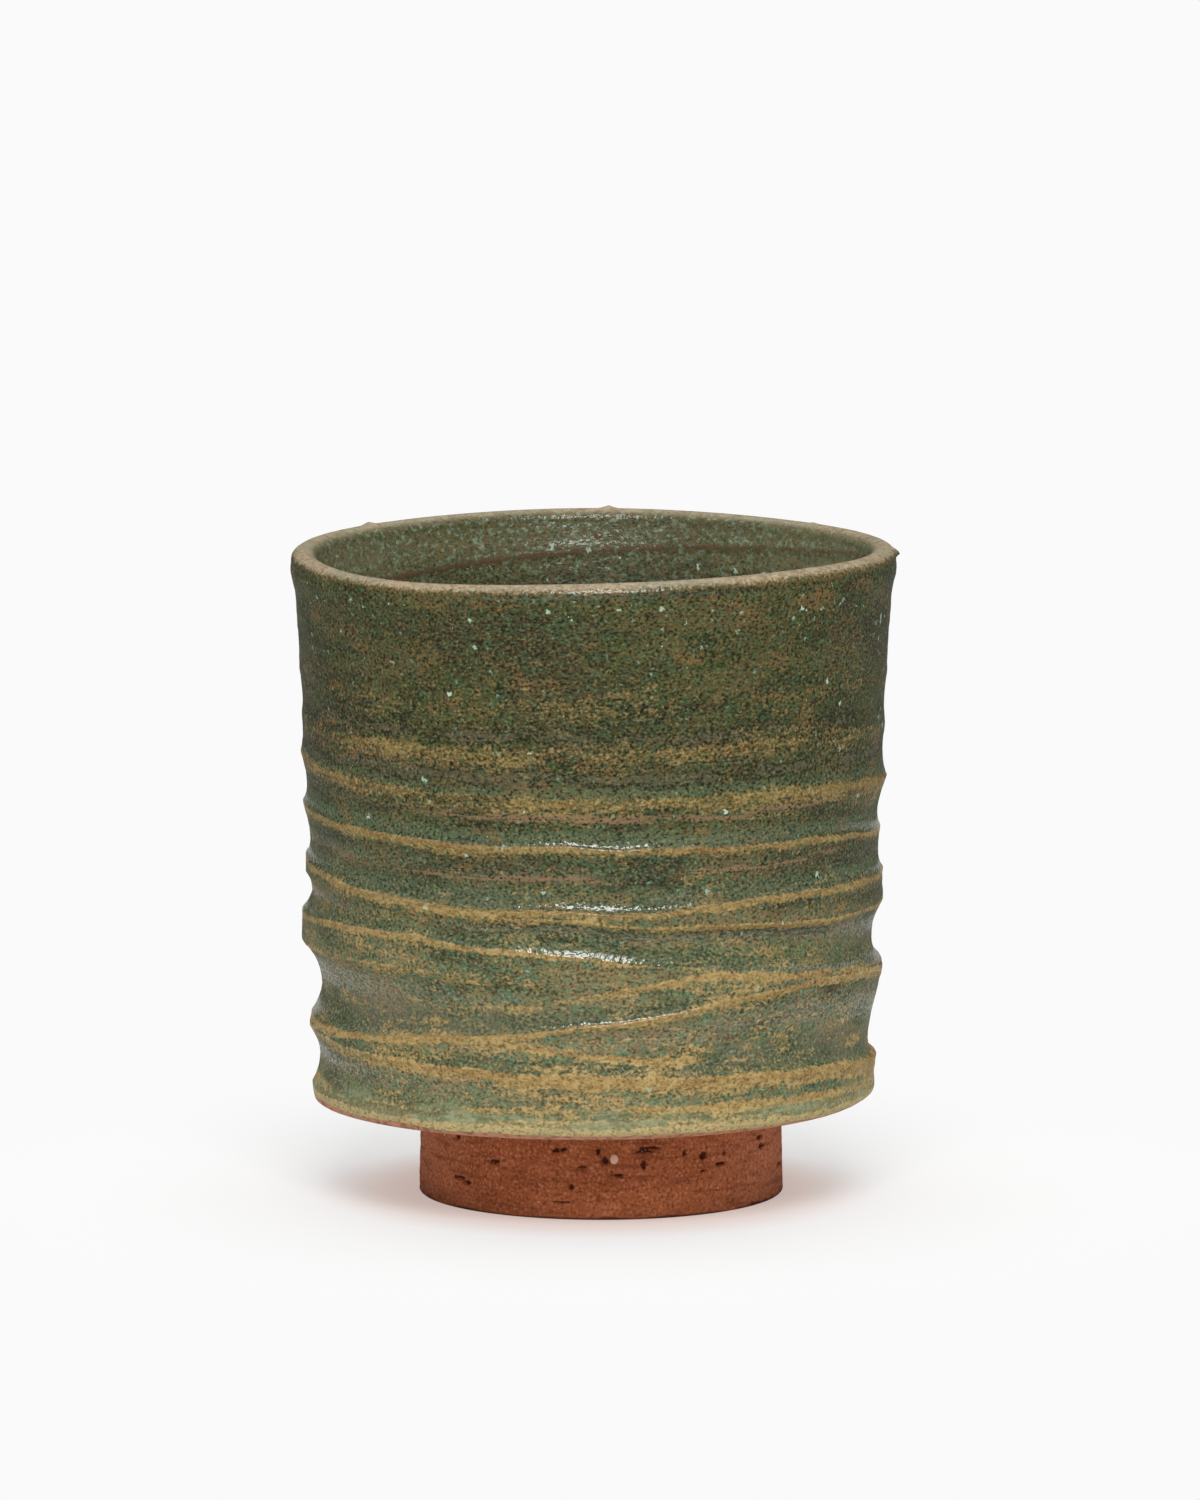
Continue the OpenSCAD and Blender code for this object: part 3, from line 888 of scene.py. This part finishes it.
CREASES = [
    ([52] * 16, [0.5, 0.6] * 4 + [0.5, 0.6, 0.7, 0.7, 0.7, 0.7, 0.6, 0.5], 1.1, 1.3),
    ([46.6] * 16, [0.5, 0.6] * 4 + [0.5, 0.7, 0.9, 0.9, 0.9, 0.8, 0.8, 0.6], 1, 1.2),
    ([26] * 8 + [26, 26, 26.6, 26.8, 26.3, 25.5, 24.7, 24.2],
     [0.4] * 8 + [0, 0, 0.2, 0.6, 0.9, 1, 0.8, 0.4], 0.5, 0.8),
    ([14] * 8 + [10, 10.6, 11.2, 12.6, 14.6, 17, 18.5, 17],
     [0.2] * 8 + [0.1, 0.1, 0.1, 0.1, 0.3, 0.9, 0.8, 0.3], 0.3, 0.4),
    ([5] * 8 + [5, 5, 5, 5, 5, 7.6, 8, 7], [0.2] * 8 + [0.1, 0.3, 0.5, 0.7, 0.6, 0.8, 0.5, 0.1], 0.3, 0.4),
]


def band_share(bands):
    """How strongly the nearest of these bands, each with its line, shows at each point of the coat."""
    share = np.zeros_like(outer_rows["height"])
    for line, (strength, above, below) in bands:
        off = outer_rows["height"] - line
        reach = np.where(off > 0, above, below) * MM
        share = np.maximum(share, around(strength) * np.exp(-((off / reach) ** 2)))
    return share


def with_lines(bands):
    """Bands between the ridges, each with the line that its rises give round the cup."""
    return [(corner_z + around(rise) * MM, band) for rise, *band in bands]


outer_rows["ochre"] = band_share([*zip(line_z[1:], OCHRE_RIDGES), *with_lines(OCHRE_STREAKS)])
outer_rows["score"] = band_share(with_lines(SCORES))
outer_rows["crease"] = band_share(with_lines(CREASES))


def specks_at(place, spacing, size, share, seed):
    """Ragged specks of random size and strength in this share of their cells, sizes in millimetres."""
    spacing, size = spacing * MM, size * MM
    moved = place.vector("ADD", place, (seed, seed, seed))
    shake = moved.node("ShaderNodeTexNoise", {}, {"Vector": moved, "Scale": 1.5 / size}, output="Color")
    ragged = shake.vector("MULTIPLY_ADD", shake, (2 * size, 2 * size, 2 * size), moved)
    cell = {"Vector": ragged, "Scale": 1 / spacing}
    far = place.node("ShaderNodeTexVoronoi", {}, cell)
    chance = place.node("ShaderNodeTexVoronoi", {}, cell, output="Color")
    there, large, strong = (
        chance.node("ShaderNodeSeparateColor", {}, {0: chance}, part) for part in ("Red", "Green", "Blue")
    )
    reach = size / 2 / spacing
    spot = (reach * (0.3 + large) - far).step(0.0, reach * 0.4)
    return spot * there.step(1 - share, 1.01 - share) * (0.4 + 0.6 * strong)


def speckled(colour, place, crowding):
    """Colour with the specks of the glaze: rust, pale teal, crowded near the lip, and black pinholes."""
    level = place.stored("level")
    high = 0.5 + 0.5 * level.step(35 * MM, 60 * MM)
    near_lip = level.step(70 * MM, 80 * MM) * crowding
    return layered(colour, [
        ((96, 58, 24), specks_at(place, 2.2, 0.7, 0.5, 0.031) * 0.6),
        ((120, 156, 128), specks_at(place, 1.3, 0.45, 0.65, 0.017) * 0.65),
        ((172, 200, 176), specks_at(place, 2.6, 0.7, 0.5, 0.023) * high),
        ((150, 188, 160), specks_at(place, 1.7, 0.55, 0.75, 0.041) * near_lip),
        ((24, 20, 12), specks_at(place, 2.6, 0.4, 0.5, 0.053) * 0.9),
    ])


hem_low = 14 * MM


def outer_finish():
    """Satin glaze that breaks to ochre on the ridges, shows clay in the scores and shines in the flutes."""
    material, shader, place = new_finish("outer_glaze")
    broken = place.noise(2.5, across=0.4, seed=14, detail=4, roughness=0.65)
    sag = place.stored("sag")
    crease = place.stored("crease") + (broken - 0.5) * 2.2
    colour, low, grain, patch, cloud = glaze_colour(place, [
        ((82, 96, 71), (74, 84, 60), (sag + (broken - 0.5) * 0.8).step(0.2, 0.9) * 0.7),
        # Painted shadow: a dark line round the edge of each crease, with its grey laid inside.
        ((38, 40, 25), (56, 58, 42), crease.step(0.4, 0.55) * 0.65),
        ((82, 79, 58), (104, 106, 84), crease.step(0.55, 0.7) * 0.8),
    ])
    level = place.stored("level")
    pool = place.stored("pool")
    streak = place.noise(0.9, across=0.14, seed=3, detail=3, roughness=0.6)
    smear = place.noise(1.8, across=0.25, seed=21, detail=4, roughness=0.65)
    smudge = place.noise(3.5, across=0.5, seed=25, detail=3, roughness=0.6)
    wander = place.noise(10, across=0.5, seed=41)
    hair = place.noise(0.35, across=0.05, seed=31)
    smudged = smudge.step(0.55, 0.7) * grain.step(0.36, 0.58)
    colour = layered(colour, [
        # Grey in the deep lower flutes: partly the pooled glaze's own colour, partly a painted sheen.
        ((112, 107, 92), pool.step(0.25, 1.0) * cloud.step(0.35, 0.6) * low * 0.4),
        (paint(srgb(118, 90, 54), srgb(134, 120, 74), low), smudged * 0.7),
        ((148, 138, 98), level.step(hem_low + 4 * MM, hem_low) * 0.4),
    ])
    rough_edge = (grain - 0.5) + (patch - 0.5) + (streak - 0.5) * 1.2
    rough_edge = rough_edge + (smear - 0.5) * (0.5 + 0.9 * low) + (wander - 0.5) * 0.9
    breaking = (place.stored("ochre") * 1.4).largest(0.36 * low) + rough_edge
    thin = breaking.step(0.22 + 0.1 * low, 1.1 - 0.18 * low)
    gold = layered(paint(srgb(122, 102, 58), srgb(152, 124, 74), low), [
        (paint(srgb(138, 120, 76), srgb(182, 158, 106), low), patch.step(0.45, 0.6) * 0.7),
        ((126, 88, 48), smear.step(0.5, 0.36) * 0.5),
        ((200, 186, 138), level.step(hem_low + 3 * MM, hem_low) * 0.45),
        ((186, 166, 116), grain.step(0.52, 0.68) * 0.4),
        ((84, 68, 36), grain.step(0.47, 0.36) * 0.6),
    ])
    drips = level.step(hem_low + 5 * MM, hem_low + 1 * MM) * smear.step(0.52, 0.42) * patch.step(0.38, 0.52)
    scored = place.stored("score").step(0.3, 0.7) * hair.step(0.38, 0.54) * grain.step(0.34, 0.48)
    colour = layered(colour, [
        (gold, thin * 0.92),
        ((146, 158, 122), drips * (1 - thin * 0.7) * 0.6),
        ((130, 104, 78), scored * 0.75),
    ])
    colour, _ = burnt_lip(speckled(colour, place, 1.0), place, grain, patch, cloud)
    dry_surface(shader, colour, grain, patch)
    up_flute = place.stored("share")
    brim = sag.step(0.1, 0.5) * up_flute.step(0.25, 0.12)
    brim = brim * level.step(56 * MM, 52 * MM) * level.step(21 * MM, 24 * MM)
    hollow = pool.step(0.1, 0.5) * up_flute.step(0.42, 0.62) * up_flute.step(0.95, 0.75)
    sparkle = 0.25 + grain.step(0.42, 0.6) * 1.2
    shine = hollow * (0.12 + 0.42 * low) * sparkle + brim * 0.75
    shining(material, shader, place, shine, 0.12, colour)
    return material


outer_coat = turned_piece("outer_glaze_coat", waved(outer_rows), closed=True)
shaped_by(
    pressed_by_fingers, outer_coat, {**PRESSING, "Drag height": 0.25 * MM, "Material": outer_finish()}
)
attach(outer_coat, "root")
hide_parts("outer_glaze")

# Inner glaze: the same glaze lining the wall and the floor. It shows the spiral that the fingers
# left inside as the wall was pulled up, with a ledge that climbs to the right at the back.
inner_coat_t = 0.5 * MM
lining_proud = lip_proud / 5
lining_taper = 8 * MM
lining_pole = 1.5 * MM
ledge_z = 80.6 * MM
ledge_pitch = 14.4 * MM
ledge_depth = 0.25 * MM
ledge_crest = 1.0 * MM
ledge_line = 0.55 * MM
ledge_settle = 3 * MM
ledge_low = 1.5 * MM
ledge_low_settle = 6 * MM
LEDGE_STEP = 0.07
DOWN_ROWS = 150
DOWN_CROWDING = 1.25
COAT_FILLET_ROWS = 35
FLOOR_ROWS = 39


def eased(share):
    """A straight climb from 0 to 1 made smooth at both ends."""
    return share * share * (3 - 2 * share)


coat_fillet = floor_fillet - inner_coat_t
coat_fillet_z = floor_z + inner_coat_t + coat_fillet
coat_middle = float(inside_radius(coat_fillet_z)) - inner_coat_t - coat_fillet
down_share = np.linspace(0, 1, DOWN_ROWS) ** DOWN_CROWDING
wall_down = glaze_top_z + (coat_fillet_z - glaze_top_z) * down_share
coat_turn = np.linspace(0, math.pi / 2, COAT_FILLET_ROWS + 1)[1:]
floor_out = np.linspace(coat_middle, lining_pole, FLOOR_ROWS + 1)[1:]
thicken = eased(ramp(glaze_top_z - wall_down, 0, lining_taper))
wall_coat = (inner_coat_t + lining_proud) * thicken - lining_proud
lining_section = along_section(
    (inside_radius(wall_down) - wall_coat, wall_down),
    (coat_middle + coat_fillet * np.cos(coat_turn), coat_fillet_z - coat_fillet * np.sin(coat_turn)),
    (floor_out, np.full(FLOOR_ROWS, floor_z + inner_coat_t)),
)
lining = level_rows(*lining_section, over=1)
climb = turned_from(turn, math.pi / 2) / (2 * math.pi) * ledge_pitch
phase = (lining["height"] - ledge_z - climb) / ledge_pitch % 1
saw = (1 - phase) * eased(ramp(phase, 0, LEDGE_STEP))
settle = ramp(glaze_top_z - lining["height"], 0, ledge_settle)
settle = settle * ramp(lining["height"] - floor_z - ledge_low, 0, ledge_low_settle)
ledge_fade = 0.95 - 0.2 * np.cos(turn)
lining["radius"] = lining["radius"] - ledge_depth * saw * settle
lining["skin"] = ramp(glaze_top_z - lining["height"], 0, skin_fade)
lining["phase"] = phase
lining["ledge"] = ledge_fade * np.exp(-(((phase * ledge_pitch - ledge_crest) / ledge_line) ** 2))
hidden = turned_over(clay_inside)
hidden["radius"] = hidden["radius"] + 2 * lip_proud
hidden["phase"] = np.zeros_like(hidden["radius"])
hidden["ledge"] = np.zeros_like(hidden["radius"])


def inner_finish():
    """The glaze of the lining, shining in patches."""
    material, shader, place = new_finish("inner_glaze")
    colour, _, grain, patch, cloud = glaze_colour(place)
    colour = speckled(lining_colour(colour, place, patch, grain), place, 0.0)
    dry_surface(shader, colour, grain, patch)
    shining(material, shader, place, 0.2 + cloud * 0.5, 0.25, colour)
    return material


inner_coat = turned_piece("inner_glaze_coat", waved(stacked(hidden, lining)), closed=False)
shaped_by(
    pressed_by_fingers, inner_coat, {**PRESSING, "Drag height": 0.12 * MM, "Material": inner_finish()}
)
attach(inner_coat, "root")
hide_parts("inner_glaze")

# Floor, light and camera: a white sweep under soft light from above and in front, seen from the
# photograph's height through a long lens.
FLOOR_RADIUS = 6.0
FLOOR_DROP = 0.02 * MM
WHITE = 0.956
bpy.ops.mesh.primitive_circle_add(
    vertices=96, radius=FLOOR_RADIUS, fill_type="NGON", location=(0, 0, -FLOOR_DROP)
)
floor = bpy.context.object
floor.name = "floor"
floor_paper = bpy.data.materials.new("floor_paper")
floor_paper.use_nodes = True
floor_paper.node_tree.nodes.clear()
sheet = Wire(floor_paper.node_tree)
floor_place = sheet.node("ShaderNodeTexCoord", output="Object")
from_middle = floor_place.vector("LENGTH", floor_place, output="Value")
near_foot = from_middle.step(39 * MM, 25 * MM)
# Painted shade: near the foot the floor's glow and paper are tinted warm and darker, standing in for the
# shadow and the painted bounce from the red clay.
painted_shade_glow = paint((WHITE, WHITE, WHITE, 1), (0.93, 0.8, 0.74, 1), near_foot)
glow = sheet.node("ShaderNodeEmission", {}, {"Color": painted_shade_glow, "Strength": 1.0})
painted_shade_paper = paint((0.82, 0.82, 0.82, 1), (0.8, 0.7, 0.65, 1), near_foot)
lit = sheet.node("ShaderNodeBsdfDiffuse", {}, {"Color": painted_shade_paper})
mirrored = sheet.node("ShaderNodeLightPath", output="Is Glossy Ray")
bounce = paint((0.88, 0.88, 0.88, 1), (0.6, 0.6, 0.6, 1), mirrored)
bounced = sheet.node("ShaderNodeBsdfDiffuse", {}, {"Color": bounce})
glow_share = 0.47 + 0.53 * from_middle.step(34 * MM, 100 * MM)
shown = sheet.node("ShaderNodeMixShader", {}, {0: glow_share, 1: lit, 2: glow})
seen = sheet.node("ShaderNodeLightPath", output="Is Camera Ray")
paper_surface = sheet.node("ShaderNodeMixShader", {}, {0: seen, 1: bounced, 2: shown})
sheet.node("ShaderNodeOutputMaterial", {}, {"Surface": paper_surface})
floor.data.materials.append(floor_paper)

world = bpy.data.worlds.new("studio")
bpy.context.scene.world = world
world.use_nodes = True
world.node_tree.nodes.clear()
sky = Wire(world.node_tree)
side = sky.node("ShaderNodeTexCoord", output="Generated")
up = sky.node("ShaderNodeSeparateXYZ", {}, {0: side}, output="Z")
away = sky.node("ShaderNodeSeparateXYZ", {}, {0: side}, output="Y")
camera_ray = sky.node("ShaderNodeLightPath", output="Is Camera Ray")
glossy_ray = sky.node("ShaderNodeLightPath", output="Is Glossy Ray")
high_back = away.step(0.0, 0.5) * up.step(0.15, 0.5)
glow_of_sky = 0.3 + 0.3 * away.step(-0.2, -0.9) + 0.9 * high_back + 0.5 * up.step(0.5, 0.9)
mirrored_sky = 0.06 + 0.5 * up.step(0.3, 0.8)
glow_of_sky = glow_of_sky + glossy_ray * (mirrored_sky - glow_of_sky)
glow_of_sky = glow_of_sky + camera_ray * (WHITE - glow_of_sky)
backdrop = sky.node("ShaderNodeBackground", {}, {"Color": (1, 1, 1, 1), "Strength": glow_of_sky})
sky.node("ShaderNodeOutputWorld", {}, {"Surface": backdrop})

BOX_PLACE = (0.03, -0.95, 0.9)
BOX_AIM = (0, 0, 0.05)
lamp = bpy.data.lights.new("front_box", "AREA")
lamp.shape = "RECTANGLE"
lamp.size = 0.6
lamp.size_y = 0.45
lamp.energy = 11.0
front_box = bpy.data.objects.new("front_box", lamp)
bpy.context.scene.collection.objects.link(front_box)
front_box.location = BOX_PLACE
front_box.rotation_euler = (Vector(BOX_AIM) - front_box.location).to_track_quat("-Z", "Y").to_euler()

CAMERA_DISTANCE = 2.0
CAMERA_HEIGHT = 0.353
CAMERA_RIGHT = 0.86 * MM
CAMERA_PITCH = 8.348
SENSOR_MM = 36
LENS_MM = 362.7
camera = bpy.data.objects.new("camera", bpy.data.cameras.new("camera"))
bpy.context.scene.collection.objects.link(camera)
camera.location = (CAMERA_RIGHT, -CAMERA_DISTANCE, CAMERA_HEIGHT)
camera.rotation_euler = (math.radians(90 - CAMERA_PITCH), 0, 0)
camera.data.sensor_width = SENSOR_MM
camera.data.lens = LENS_MM
bpy.context.scene.camera = camera
bpy.context.scene.view_settings.view_transform = "Standard"
